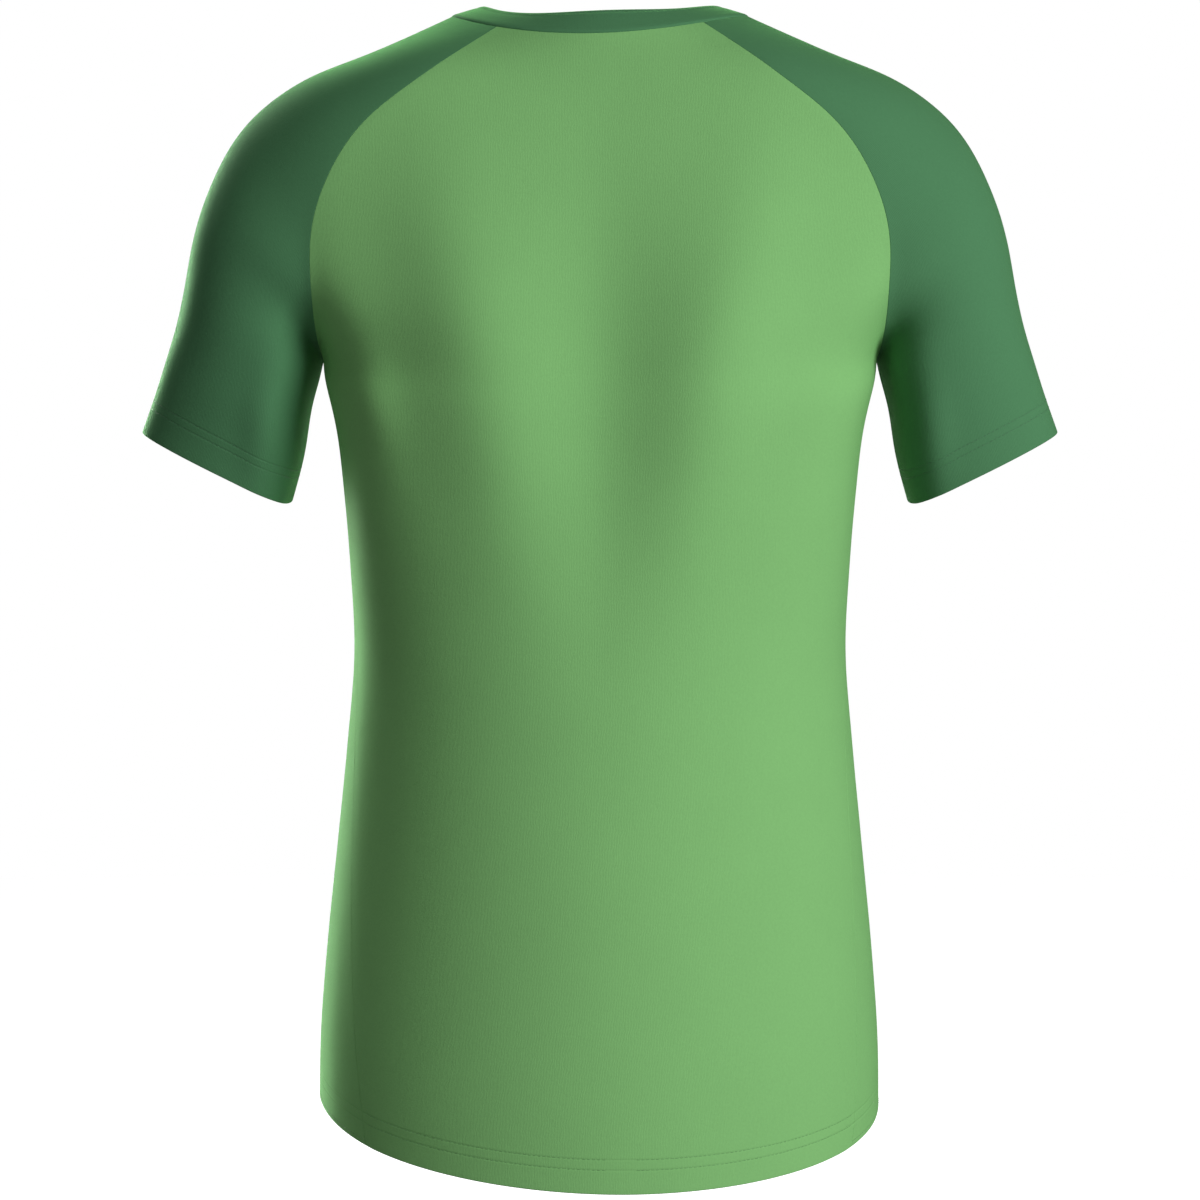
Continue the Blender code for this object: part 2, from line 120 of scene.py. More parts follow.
# Raglan seams and the yoke between them, station 0 at the neck to station 5 at the underarm.
# The sweep is the part of a quarter round that the row takes from the centre to the seam.
Yoke = namedtuple("Yoke", "seam_x seam_y seam_z centre_y centre_z sweep round")
BACK_YOKE = rows_of(Yoke,
    (0.0627, 0.0530, -0.0128, 0.0720, -0.0217, 42, 0.87),
    (0.1028, 0.0830, -0.0455, 0.0870, -0.0560, 38, 0.87),
    (0.1460, 0.0890, -0.0830, 0.0995, -0.0980, 30, 0.84),
    (0.1700, 0.0875, -0.1330, 0.1095, -0.1490, 38, 0.76),
    (0.1705, 0.0745, -0.1830, 0.1165, -0.1990, 60, 0.68),
    (0.1700, 0.0000, -0.2090, 0.1200, -0.2450, 90, 0.64),
)
FRONT_YOKE = rows_of(Yoke,
    (0.0762, -0.0528, -0.0440, -0.0920, -0.0980, 55, 0.87),
    (0.1080, -0.0810, -0.0690, -0.1080, -0.1260, 45, 0.87),
    (0.1420, -0.0950, -0.1010, -0.1205, -0.1550, 38, 0.87),
    (0.1630, -0.0905, -0.1400, -0.1305, -0.1850, 42, 0.87),
    (0.1705, -0.0705, -0.1840, -0.1360, -0.2150, 62, 0.87),
    (0.1700, 0.0000, -0.2090, -0.1370, -0.2450, 90, 0.87),
)

# Sleeve rows at the same stations, and on to the cuff at station 8. Each row leaves the seam
# along its lift, and passes the crown (the outer line of shoulder and arm) with its reach.
# A row's round is 1 for a plain arc, and less where it bends later and faster.
Lift = namedtuple("Lift", "x y z reach round")
BACK_LIFT = rows_of(Lift,
    (0.0193, -0.0137, 0.0060, 0.0202, 1.00),
    (0.0260, -0.0130, 0.0160, 0.0300, 1.00),
    (0.0290, -0.0100, 0.0220, 0.0430, 1.00),
    (0.0330, -0.0060, 0.0200, 0.0600, 0.95),
    (0.0390, 0.0170, 0.0160, 0.0770, 0.82),
    (0.0050, 0.1070, 0.0020, 0.0945, 0.67),
    (-0.0010, 0.1010, -0.0030, 0.0880, 0.61),
    (-0.0010, 0.0950, -0.0060, 0.0780, 0.61),
    (0.0000, 0.0880, -0.0060, 0.0740, 0.61),
)
FRONT_LIFT = rows_of(Lift,
    (0.0200, 0.0180, 0.0250, 0.0180, 1.00),
    (0.0220, 0.0150, 0.0265, 0.0290, 1.00),
    (0.0270, 0.0100, 0.0300, 0.0430, 1.00),
    (0.0320, 0.0060, 0.0270, 0.0600, 0.95),
    (0.0390, -0.0120, 0.0180, 0.0800, 0.88),
    (0.0060, -0.1020, 0.0020, 0.1030, 0.78),
    (0.0000, -0.0950, 0.0030, 0.0960, 0.72),
    (0.0000, -0.0860, 0.0060, 0.0860, 0.72),
    (0.0000, -0.0800, 0.0100, 0.0800, 0.72),
)
Crown = namedtuple("Crown", "x y z")
CROWN = rows_of(Crown,
    (0.0920, 0.0000, 0.0012),
    (0.1388, 0.0000, -0.0216),
    (0.1855, 0.0000, -0.0408),
    (0.2210, 0.0000, -0.0706),
    (0.2434, 0.0000, -0.1165),
    (0.2553, 0.0000, -0.1655),
    (0.2625, -0.0030, -0.1950),
    (0.2722, -0.0070, -0.2240),
    (0.2832, -0.0120, -0.2528),
)
INNER = rows_of(Crown,  # inner line of the sleeve, underarm (station 5) to cuff (station 8)
    (0.1700, 0.0000, -0.2090),
    (0.1790, -0.0030, -0.2395),
    (0.1837, -0.0070, -0.2700),
    (0.1915, -0.0120, -0.2985),
)
UNDERARM = 5
CUFF = 8

# Soft drape over the shoulder blades
RIDGE_HEIGHT = 0.009
RIDGE_OUT = 0.072  # each ridge from the centre back
RIDGE_WIDTH = 0.036
RIDGE_MIDDLE = -0.218  # height of the ridges' middle
RIDGE_LENGTH = 0.115
RIDGE_SPREAD = 0.18  # the ridges part by this much each way for every metre upwards
VALLEY_OUT = 1.62  # the outer valleys, as a share of the ridges' place
VALLEY_SHARE = 0.40  # depth of the outer valleys, as a share of the ridges' height
SPINE_SHARE = 0.9  # and of the valley over the spine
DRAPE_FADE = 6  # how late the drape fades out towards the seam

# Density of the cage that the smooth form is subdivided from
HALF_COLUMNS = 14  # of the back or front, centre to seam
SLEEVE_COLUMNS = 13  # seam to crown
YOKE_ROWS = 17
FINE_STEPS = 60  # of half a row, before its points are spaced out evenly
BODY_ROWS = 28
SLEEVE_ROWS = 6
MERGE = 0.00001  # grid points nearer than this are one
SMOOTHING = 2  # subdivision levels

# Sewing
HEM_LINES = (0.014, 0.020)  # coverstitch above the hem's edge
CUFF_LINES = (0.017, 0.022)
EDGE_LINE = 0.0035  # edge stitch of the front hem beside the side seams
EDGE_LENGTH = 0.070  # and how long it is
FRONT_HEM_START = 0.085  # the front hem's stitching starts this far from the side seams
HEM_GAP = 0.020  # the back hem's stitching stops this wide at the centre
SIDE_GAP = 0.004  # and this far from the side seams
LINE_ROWS = 13  # of the fine grids that stitched lines are read from
HEM_COLUMNS = 60  # of those grids, centre to side seam
CUFF_COLUMNS = 30  # and seam to crown
CUFF_RISE = 0.5  # stations that the cuff's grid reaches over the turned cuff
LINE_SPACING = 0.002  # of the points that a stitched line is made from
STITCH_PITCH = 0.0028
STITCH_LENGTH = 0.0023
STITCH_SIDES = 6
STITCH_RINGS = 4
THREAD = 0.00019  # thread's radius
LOOPER_THREAD = 0.00016  # the finer thread on the inner side, and of the overlocking
LOOPER_SIDES = 5
LOOPER_PITCH = 0.0028  # one zigzag of the looper thread inside hem and cuffs
OVERLOCK_WIDTH = 0.006  # of the seam allowances, both layers overlocked together
OVERLOCK_HEIGHT = 0.0010
OVERLOCK_PITCH = 0.0026
OVERLOCK_REACH = (0.05, 0.95)  # the thread's zigzag, as shares of that width
OVERLOCK_SPACING = 0.004  # of the allowances' own sections
OVERLOCK_CLEAR = 0.0002  # between the shell's inner face and the allowance
OVERLOCK_START = 0.009  # the raglan allowances start this far below the neck seam
UNDERARM_CLEAR = 0.010  # side and sleeve allowances start this far from the underarm point
SEAM_POINTS = 60  # of a long seam
SLEEVE_SEAM_POINTS = 20

# Colours, linear
LIGHT_GREEN = (0.204, 0.459, 0.162, 1.0)
DARK_GREEN = (0.0700, 0.2020, 0.0920, 1.0)
# The threads are the cloth's own green, made darker here to paint the shade of the grooves that the
# stitches sink into
LIGHT_THREAD_PAINTED_SHADE = (0.110, 0.270, 0.090, 1.0)
DARK_THREAD_PAINTED_SHADE = (0.045, 0.135, 0.062, 1.0)

# Knit
KNIT_ROUGHNESS = 0.82
KNIT_SPECULAR = 0.03
SHEEN = 0.55
SHEEN_ROUGHNESS = 0.30
SHEEN_TINT = (0.34, 1.0, 0.30, 1.0)
WALE = 0.0009  # width of a column of loops
COURSE = 0.0007  # height of a row of loops
SWAY = 0.0020  # how far the columns and rows wander
SWAY_SCALE = 160.0
GRAIN_SCALE = 700.0
CLOUD_SCALE = 28.0
BASE_TONE = 0.91  # of the colour, to which grain and cloud add
GRAIN_TONE = 0.14
CLOUD_TONE = 0.05
LOOP_RELIEF = 0.25  # shares of the bump's depth
GRAIN_RELIEF = 0.8
GROOVE_RELIEF = -2.0
GROOVE_WIDTH = 0.0006  # of the groove under a line of stitches
BUMP_DEPTH = 0.0002
BUMP_STRENGTH = 0.5


def spline(values, at, knots=None):
    """Smooth curve through table values, read at one or more places."""
    values = np.asarray(values, float)
    knots = np.arange(len(values), dtype=float) if knots is None else np.asarray(knots, float)
    slopes = np.gradient(values, knots, axis=0)
    i = int(np.clip(np.searchsorted(knots, at) - 1, 0, len(knots) - 2))
    step = knots[i + 1] - knots[i]
    t = (at - knots[i]) / step
    return ((2 * t**3 - 3 * t**2 + 1) * values[i] + (t**3 - 2 * t**2 + t) * step * slopes[i]
            + (3 * t**2 - 2 * t**3) * values[i + 1] + (t**3 - t**2) * step * slopes[i + 1])


def soft_step(low, high, value):
    t = np.clip((value - low) / (high - low), 0.0, 1.0)
    return t * t * (3 - 2 * t)


def neck_point(angle):
    """Point of the neck seam: angle 0 at centre back, pi at centre front."""
    along = math.cos(angle)
    reach, drop, power = NECK_BACK, NECK_BACK_DROP, NECK_BACK_POWER
    if along < 0:
        reach, drop, power = NECK_FRONT, NECK_FRONT_DROP, NECK_FRONT_POWER
    return np.array((NECK_HALF_WIDTH * math.sin(angle), reach * along,
                     NECK_SIDE_HEIGHT - drop * abs(along) ** power))


def raglan_seam(is_back, station):
    """Point of a raglan seam. The two seams meet smoothly at the underarm."""
    table, other = (BACK_YOKE, FRONT_YOKE) if is_back else (FRONT_YOKE, BACK_YOKE)
    return spline([row[:3] for row in table + (other[-2],)], station)


def neck_fade(station):
    return max(0.0, 1 - station / NECK_REACH) ** 2


def drape(point, share):
    """Two soft ridges that hang from the shoulder blades, with shallow valleys beside them."""
    x, y, z = point
    out = RIDGE_OUT + RIDGE_SPREAD * (z - RIDGE_MIDDLE)
    ridge = math.exp(-((abs(x) - out) / RIDGE_WIDTH) ** 2)
    valley = math.exp(-((abs(x) - VALLEY_OUT * out) / RIDGE_WIDTH) ** 2)
    spine = math.exp(-(x / RIDGE_WIDTH) ** 2)
    along = math.exp(-((z - RIDGE_MIDDLE) / RIDGE_LENGTH) ** 2)
    lift = RIDGE_HEIGHT * along * (ridge - VALLEY_SHARE * valley - SPINE_SHARE * spine)
    return np.array((x, y + share * lift, z))


def yoke_point(is_back, station, u):
    """Back or front above the underarm: u runs from 0 at the centre to 1 at the raglan seam."""
    table = BACK_YOKE if is_back else FRONT_YOKE
    seam = raglan_seam(is_back, station)
    centre_y, centre_z, sweep, power = spline([row[3:] for row in table], station)
    sweep = math.radians(min(sweep, 90.0))
    bow = (1 - math.cos(u * sweep) ** power) / (1 - max(math.cos(sweep), 0.0) ** power)
    x = seam[0] * (math.sin(u * sweep) / math.sin(sweep)) ** power
    return np.array((x, centre_y + (seam[1] - centre_y) * bow, centre_z + (seam[2] - centre_z) * bow))


def body_point(is_back, height, u):
    """Back or front below the underarm: u runs from 0 at the centre to 1 at the side seam."""
    knots = [-row.height for row in BODY]
    half_width, back, front, *powers = spline([row[1:] for row in BODY], -height, knots)
    depth = (BODY[0].height - height) / (BODY[0].height - BODY[-1].height)
    seam_angle = math.pi / 2 - SEAM_TURN * depth
    angle = u * seam_angle if is_back else math.pi - u * (math.pi - seam_angle)
    power = powers[0] if math.cos(angle) > 0 else powers[1]
    across = math.sin(angle) ** power
    along = abs(math.cos(angle)) ** power
    reach, hem_drop = (back, BACK_HEM_DROP) if math.cos(angle) > 0 else (-front, FRONT_HEM_DROP)
    drop = UNDERARM_SAG + (hem_drop - UNDERARM_SAG) * depth
    return np.array((half_width * across, reach * along, height - drop * along ** DROP_POWER))


def settled(point):
    """The shirt as it hangs: its lower part turned and tilted, and its back neck a little aslant."""
    depth = max(0.0, TWIST_TOP - point[2]) / (TWIST_TOP - BODY[-1].height)
    share = min(depth, 1.0) ** TWIST_POWER
    turn = HEM_TWIST * share
    x, y, z = point
    near_neck = (math.exp(-(x / NECK_HALF_WIDTH) ** 2) * soft_step(0.0, NECK_TILT_DEPTH, y)
                 * soft_step(-NECK_TILT_FADE, 0.0, z))
    slope = HEM_TILT * share - NECK_TILT * near_neck
    return np.array((x * math.cos(turn) - y * math.sin(turn), x * math.sin(turn) + y * math.cos(turn),
                     z + slope * x))


def panel_point(is_back, row, u):
    """Back or front on one of its rows, which is a yoke's station or a height of the body."""
    kind, place = row
    if kind == "body":
        return body_point(is_back, place, u)
    neck = neck_point(u * BACK_CORNER if is_back else math.pi - u * FRONT_CORNER)
    return yoke_point(is_back, place, u) + neck_fade(place) * (neck - yoke_point(is_back, 0, u))


def hem_rows():
    """The last rows of a panel, from the top of the turned hem to the edge."""
    bottom = BODY[-1].height
    return [("body", bottom + HEM_DEPTH * share) for share in (1.0, 0.5, 0.0)]


def walked(points):
    """How far along the line of points each of them lies."""
    return np.concatenate(((0.0,), np.cumsum(np.linalg.norm(np.diff(points, axis=0), axis=1))))


def read_line(points, places):
    """Points of the line at these distances from its start."""
    points = np.asarray(points, float)
    gone = walked(points)
    return np.transpose([np.interp(places, gone, points[:, k]) for k in range(3)])


def even_half(is_back, row, columns):
    """Half a row of the back or front, centre to seam, as evenly spaced points."""
    fine = np.array([panel_point(is_back, row, i / FINE_STEPS) for i in range(FINE_STEPS + 1)])
    shares = np.linspace(0.0, 1.0, columns + 1)
    half = read_line(fine, shares * walked(fine)[-1])
    if is_back:
        half = [drape(point, 1 - share ** DRAPE_FADE) for point, share in zip(half, shares)]
    return list(half)


def panel_rows():
    rows = [("yoke", UNDERARM * i / YOKE_ROWS) for i in range(YOKE_ROWS + 1)]
    top, last = BODY[0].height, BODY[-1].height + 1.5 * HEM_DEPTH
    rows += [("body", top + (last - top) * i / BODY_ROWS) for i in range(1, BODY_ROWS + 1)]
    return rows + hem_rows()


def panel_grid(is_back, rows, columns):
    """Whole back or front, from the wearer's right edge to the left edge."""
    grid = []
    for row in rows:
        half = even_half(is_back, row, columns)
        mirrored = [point * (-1, 1, 1) for point in half[:0:-1]]
        grid.append([settled(point) for point in mirrored + half])
    return grid


def sleeve_point(is_back, station, w):
    """Left sleeve: w runs from 0 at the seam to 1 at the crown."""
    if station <= UNDERARM:
        start = raglan_seam(is_back, station)
    else:
        start = spline(INNER, station - UNDERARM)
    lift = spline(BACK_LIFT if is_back else FRONT_LIFT, station)
    crown = spline(CROWN, station)
    before = crown + (0, lift[3] if is_back else -lift[3], 0)
    if station > UNDERARM:
        before = before + (0, 0, lift[2])
    after = start + lift[:3]
    chord = start + (3 * w**2 - 2 * w**3) * (crown - start)
    bulge = 3 * w * (1 - w)**2 * (after - start) + 3 * w**2 * (1 - w) * (before - crown)
    return chord + bulge * (4 * w * (1 - w)) ** (lift[4] - 1) if 0 < w < 1 else chord


def cuff_stations():
    """The last rows of a sleeve, from the top of the turned cuff to the edge."""
    turned = (CUFF - UNDERARM) * CUFF_DEPTH / math.dist(INNER[0], INNER[-1])
    return [CUFF - turned * share for share in (1.0, 0.5, 0.0)]


def sleeve_stations():
    stations = [UNDERARM * i / YOKE_ROWS for i in range(YOKE_ROWS + 1)]
    cuff = cuff_stations()
    last = cuff[0] - (cuff[1] - cuff[0])
    stations += [UNDERARM + (last - UNDERARM) * i / SLEEVE_ROWS for i in range(1, SLEEVE_ROWS + 1)]
    return stations + cuff


def sleeve_grid(side, stations, columns):
    """One sleeve, back seam to front seam; side is 1 for the wearer's left and -1 for the right."""
    steps = [i / columns for i in range(columns + 1)]
    grid = []
    for station in stations:
        halves = []
        for is_back, corner in ((True, BACK_CORNER), (False, math.pi - FRONT_CORNER)):
            necks = [neck_point(corner + (math.pi / 2 - corner) * w) for w in steps]
            halves.append([sleeve_point(is_back, station, w)
                           + neck_fade(station) * (neck - sleeve_point(is_back, 0, w))
                           for w, neck in zip(steps, necks)])
        back, front = halves
        grid.append([settled(point * (side, 1, 1)) for point in back + front[-2::-1]])
    return grid


# The pieces that are cut, with the sizes they are cut to: width and length, and the flat area
Cut = namedtuple("Cut", "piece node slot width length area")
CUTS = rows_of(Cut,
    ("back_panel", "back", "body_knit", 0.52, 0.72, 0.264),
    ("front_panel", "front", "body_knit", 0.64, 0.68, 0.318),
    ("left_sleeve", "sleeve_left", "sleeve_knit", 0.42, 0.37, 0.107),
    ("right_sleeve", "sleeve_right", "sleeve_knit", 0.42, 0.37, 0.107),
)
BACK_PANEL, FRONT_PANEL, LEFT_SLEEVE, RIGHT_SLEEVE = range(4)


def cut_places(grid):
    """Where each grid point lies on the flat cloth: across from the middle, and up from the edge."""
    points = np.array(grid)
    across = np.zeros(points.shape[:2])
    across[:, 1:] = np.cumsum(np.linalg.norm(np.diff(points, axis=1), axis=2), axis=1)
    across -= across[:, points.shape[1] // 2, None]
    up = np.zeros(points.shape[:2])
    up[:-1] = np.cumsum(np.linalg.norm(np.diff(points, axis=0), axis=2)[::-1], axis=0)[::-1]
    return across, up


def add_face(mesh, uv, verts, places):
    """A smooth face with each corner's place on the flat cloth."""
    face = mesh.faces.new(verts)
    face.smooth = True
    for loop, place in zip(face.loops, places):
        loop[uv].uv = place
    return face


def join_rings(mesh, uv, rings, place):
    """Faces from each ring of vertices to the next; place gives ring i's point j on the flat cloth."""
    for i, (ring, following) in enumerate(zip(rings, rings[1:])):
        for j in range(len(ring)):
            k = (j + 1) % len(ring)
            add_face(mesh, uv, (ring[j], ring[k], following[k], following[j]),
                     (place(i, j), place(i, j + 1), place(i + 1, j + 1), place(i + 1, j)))


def add_grid(mesh, grid, piece):
    across, up = cut_places(grid)
    uv = mesh.loops.layers.uv.verify()
    rows = [[mesh.verts.new(point) for point in row] for row in grid]
    for r in range(len(rows) - 1):
        for c in range(len(rows[r]) - 1):
            corners = ((r, c), (r, c + 1), (r + 1, c + 1), (r + 1, c))
            face = add_face(mesh, uv, [rows[i][j] for i, j in corners],
                            [(across[place], up[place]) for place in corners])
            face.material_index = piece


def sewn_cage():
    """The outer surface of the whole shirt as one coarse mesh, each face marked with its piece."""
    mesh = bmesh.new()
    for is_back, piece in ((True, BACK_PANEL), (False, FRONT_PANEL)):
        add_grid(mesh, panel_grid(is_back, panel_rows(), HALF_COLUMNS), piece)
    for side, piece in ((1, LEFT_SLEEVE), (-1, RIGHT_SLEEVE)):
        add_grid(mesh, sleeve_grid(side, sleeve_stations(), SLEEVE_COLUMNS), piece)
    bmesh.ops.remove_doubles(mesh, verts=mesh.verts, dist=MERGE)
    bmesh.ops.recalc_face_normals(mesh, faces=mesh.faces)
    rearmost = max(mesh.faces, key=lambda face: face.calc_center_median().y)
    if rearmost.normal.y < 0:
        bmesh.ops.reverse_faces(mesh, faces=mesh.faces)
    return mesh


def evaluated_mesh(item):
    """The item's mesh with its modifiers applied; the item itself is removed."""
    view = bpy.context.evaluated_depsgraph_get()
    result = bpy.data.meshes.new_from_object(item.evaluated_get(view))
    bpy.data.objects.remove(item)
    return result


def smooth_form():
    """The cage, subdivided into the smooth surface of the shirt."""
    cage = sewn_cage()
    data = bpy.data.meshes.new("form")
    cage.to_mesh(data)
    cage.free()
    item = bpy.data.objects.new("form", data)
    bpy.context.scene.collection.objects.link(item)
    smoothing = item.modifiers.new("smooth", "SUBSURF")
    smoothing.levels = smoothing.render_levels = SMOOTHING
    return evaluated_mesh(item)


# Soft creases, each along a line of (x, z) points on one side of the shirt: +1 back, -1 front.
# A height over zero is a ridge, under zero a trough.
Crease = namedtuple("Crease", "side line width height")
CREASES = rows_of(Crease,
    (-1, ((0.075, -0.150), (0.070, -0.240), (0.062, -0.330)), 0.026, 0.0035),
    (-1, ((-0.078, -0.160), (-0.070, -0.250), (-0.066, -0.320)), 0.024, 0.0030),
    (-1, ((0.005, -0.180), (0.000, -0.300)), 0.030, -0.0025),
    (-1, ((0.145, -0.215), (0.110, -0.260), (0.075, -0.310)), 0.016, -0.0020),
    (-1, ((-0.145, -0.215), (-0.118, -0.270), (-0.085, -0.330)), 0.015, -0.0022),
    (1, ((0.148, -0.190), (0.136, -0.222), (0.124, -0.285)), 0.013, 0.0034),
    (1, ((0.193, -0.205), (0.200, -0.250), (0.207, -0.310)), 0.012, 0.0052),
    (1, ((-0.193, -0.208), (-0.200, -0.255), (-0.206, -0.310)), 0.011, 0.0042),
)
CREASE_FADE = 0.02  # creases fade out this far from the shirt's sides
CREASE_ENDS = 0.25  # share of a crease's height at its two ends

# Places where the sleeves bend over from the shoulder to the underarm, to be made rounder
Ease = namedtuple("Ease", "x y z radius")
EASES = rows_of(Ease,
    (0.222, 0.050, -0.190, 0.040),
    (0.222, -0.060, -0.190, 0.040),
)
EASE_ROUNDS = 80


def crease_heights(points):
    """How far every point rises or sinks by the creases."""
    heights = np.zeros(len(points))
    places = points[:, (0, 2)]
    for crease in CREASES:
        line = np.array(crease.line)
        starts = walked(line)
        best = np.full(len(points), np.inf)
        along = np.zeros(len(points))
        for i in range(len(line) - 1):
            step = line[i + 1] - line[i]
            t = (places - line[i]) @ step / (step @ step)
            inside = np.clip(t, 0.0, 1.0)
            away = np.linalg.norm(places - line[i] - inside[:, None] * step, axis=1)
            nearer = away < best
            best = np.where(nearer, away, best)
            reached = starts[i] + inside * (starts[i + 1] - starts[i])
            along = np.where(nearer, reached / starts[-1], along)
        fade = CREASE_ENDS + (1 - CREASE_ENDS) * np.sin(np.pi * np.clip(along, 0.0, 1.0)) ** 2
        side = soft_step(0.0, CREASE_FADE, crease.side * points[:, 1])
        heights += crease.height * side * fade * np.exp(-(best / crease.width) ** 2)
    return heights


def read_vectors(source, name, count):
    values = np.empty(count * 3)
    source.foreach_get(name, values)
    return values.reshape(-1, 3)


def sleeve_share(form, count):
    """1 at vertices inside the sleeves, 0 on the body panels and on every seam."""
    share = np.ones(count)
    for polygon in form.polygons:
        if polygon.material_index in (BACK_PANEL, FRONT_PANEL):
            share[list(polygon.vertices)] = 0.0
    return share


def eased(form, points):
    """The sleeves, evened out where they bend over towards the underarm."""
    count = len(points)
    share = np.zeros(count)
    for ease in EASES:
        for side in (1, -1):
            away = np.linalg.norm(points - (side * ease.x, ease.y, ease.z), axis=1)
            share = np.maximum(share, np.exp(-(away / ease.radius) ** 4))
    share = (share * sleeve_share(form, count))[:, None]
    ends = np.empty(len(form.edges) * 2, dtype=np.int32)
    form.edges.foreach_get("vertices", ends)
    first, second = ends.reshape(-1, 2).T
    links = np.bincount(first, minlength=count) + np.bincount(second, minlength=count)
    for _ in range(EASE_ROUNDS):
        total = np.zeros_like(points)
        np.add.at(total, first, points[second])
        np.add.at(total, second, points[first])
        points = points + share * (total / links[:, None] - points)
    return points


def draped_form():
    """The smooth form, eased under the arms and with its soft creases."""
    form = smooth_form()
    count = len(form.vertices)
    points = eased(form, read_vectors(form.vertices, "co", count))
    form.vertices.foreach_set("co", points.ravel())
    form.update()
    normals = read_vectors(form.vertex_normals, "vector", count)
    points += normals * crease_heights(points)[:, None]
    form.vertices.foreach_set("co", points.ravel())
    form.update()
    return form


def link_mesh(name, data, material):
    data.materials.clear()
    data.materials.append(material)
    item = bpy.data.objects.new(name, data)
    bpy.context.scene.collection.objects.link(item)
    return item


def is_seam(edge):
    """Borders below the neck that are free are hems; all other borders of a piece are seams."""
    if not edge.is_boundary:
        return True
    return max(vert.co.z for vert in edge.verts) > NECK_LIMIT


def layer_depth(up, depth):
    """Thickness of the cloth at this height over its edge: two layers where it is turned."""
    return CLOTH + TURNED * (1 - soft_step(depth + TURN_TOP[0], depth + TURN_TOP[1], up))


class Shell:
    """A cut piece of cloth as a closed thin shell: its outer faces, its inner side, and its rim."""

    def __init__(self, cloth_uv, turned):
        self.mesh = bmesh.new()
        self.uv = self.mesh.loops.layers.uv.new("cloth")
        self.rounding = self.mesh.edges.layers.float.new("bevel_weight_edge")
        self.cloth_uv, self.turned = cloth_uv, turned
        self.outer, self.inner = {}, {}

    def add_verts(self, face):
        for loop in face.loops:
            vert = loop.vert
            if vert not in self.outer:
                depth = layer_depth(loop[self.cloth_uv].uv.y, self.turned)
                self.outer[vert] = self.mesh.verts.new(vert.co)
                self.inner[vert] = self.mesh.verts.new(vert.co - vert.normal * float(depth))

    def add_sides(self, face):
        for side, order in ((self.outer, 1), (self.inner, -1)):
            loops = list(face.loops)[::order]
            add_face(self.mesh, self.uv, [side[loop.vert] for loop in loops],
                     [loop[self.cloth_uv].uv for loop in loops])

    def add_rim(self, loop):
        following = loop.link_loop_next
        start, end = loop[self.cloth_uv].uv, following[self.cloth_uv].uv
        ends = (loop.vert, following.vert)
        outer, inner = [self.outer[vert] for vert in ends], [self.inner[vert] for vert in ends]
        add_face(self.mesh, self.uv, outer[::-1] + inner, (end, start, start, end))
        weight = SEAM_ROUND if is_seam(loop.edge) else 1.0
        self.mesh.edges.get(outer)[self.rounding] = weight
        if weight == 1.0:
            self.mesh.edges.get(inner)[self.rounding] = weight


def is_border(loop, piece):
    others = [face for face in loop.edge.link_faces if face != loop.face]
    return not others or others[0].material_index != piece


def finished(mesh, name, material):
    """The bmesh as an object of the scene."""
    data = bpy.data.meshes.new(name)
    mesh.to_mesh(data)
    mesh.free()
    return link_mesh(name, data, material)


def knit_shell(form, piece, material):
    whole = bmesh.new()
    whole.from_mesh(form)
    whole.normal_update()
    faces = [face for face in whole.faces if face.material_index == piece]
    turned = CUFF_DEPTH if piece in (LEFT_SLEEVE, RIGHT_SLEEVE) else HEM_DEPTH
    shell = Shell(whole.loops.layers.uv.active, turned)
    for face in faces:
        shell.add_verts(face)
    for face in faces:
        shell.add_sides(face)
    for loop in [loop for face in faces for loop in face.loops if is_border(loop, piece)]:
        shell.add_rim(loop)
    whole.free()
    item = finished(shell.mesh, CUTS[piece].piece, material)
    edge = item.modifiers.new("rounded edges", "BEVEL")
    edge.limit_method = "WEIGHT"
    edge.width = EDGE_ROUND
    edge.segments = EDGE_SEGMENTS
    shading = item.modifiers.new("even shading", "WEIGHTED_NORMAL")
    shading.mode = "FACE_AREA"
    return item


# The folded band in section: part of the way up from the seam, and height over its outer face
BandPoint = namedtuple("BandPoint", "way out")
BAND_SECTION = rows_of(BandPoint,
    (0.00, -0.0008), (0.01, 0.0001), (0.05, 0.0006), (0.12, 0.0008), (0.25, 0.0007),
    (0.45, 0.0006), (0.62, 0.0005), (0.72, 0.0003), (0.76, 0.0002), (0.80, 0.0003),
    (0.88, 0.0002), (0.95, -0.0001), (0.985, -0.0005), (1.00, -0.0010), (0.985, -0.0016),
    (0.94, -0.0020), (0.80, -0.0022), (0.50, -0.0024), (0.20, -0.0024), (0.05, -0.0024),
    (0.00, -0.0022),
)


def band_lean(angle):
    """From the neck seam to the band's folded top, which leans in towards the neck."""
    side, end = math.sin(angle) ** 2, math.cos(angle) ** 2
    run, rise = BAND_BACK_RUN, BAND_BACK_RISE
    if math.cos(angle) < 0:
        run, rise = BAND_FRONT_RUN, BAND_FRONT_RISE
    run = BAND_SIDE_RUN * side + run * end
    return Vector((-run * math.sin(angle), -run * math.cos(angle), BAND_SIDE_RISE * side + rise * end))


def neck_edge(form):
    """The neck seam's points and normals, in order round the neck."""
    mesh = bmesh.new()
    mesh.from_mesh(form)
    mesh.normal_update()
    verts = [v for v in mesh.verts if v.is_boundary and v.co.z > NECK_LIMIT]
    verts.sort(key=lambda v: math.atan2(v.co.x, v.co.y))
    edge = [(v.co.copy(), v.normal.copy()) for v in verts]
    mesh.free()
    return edge


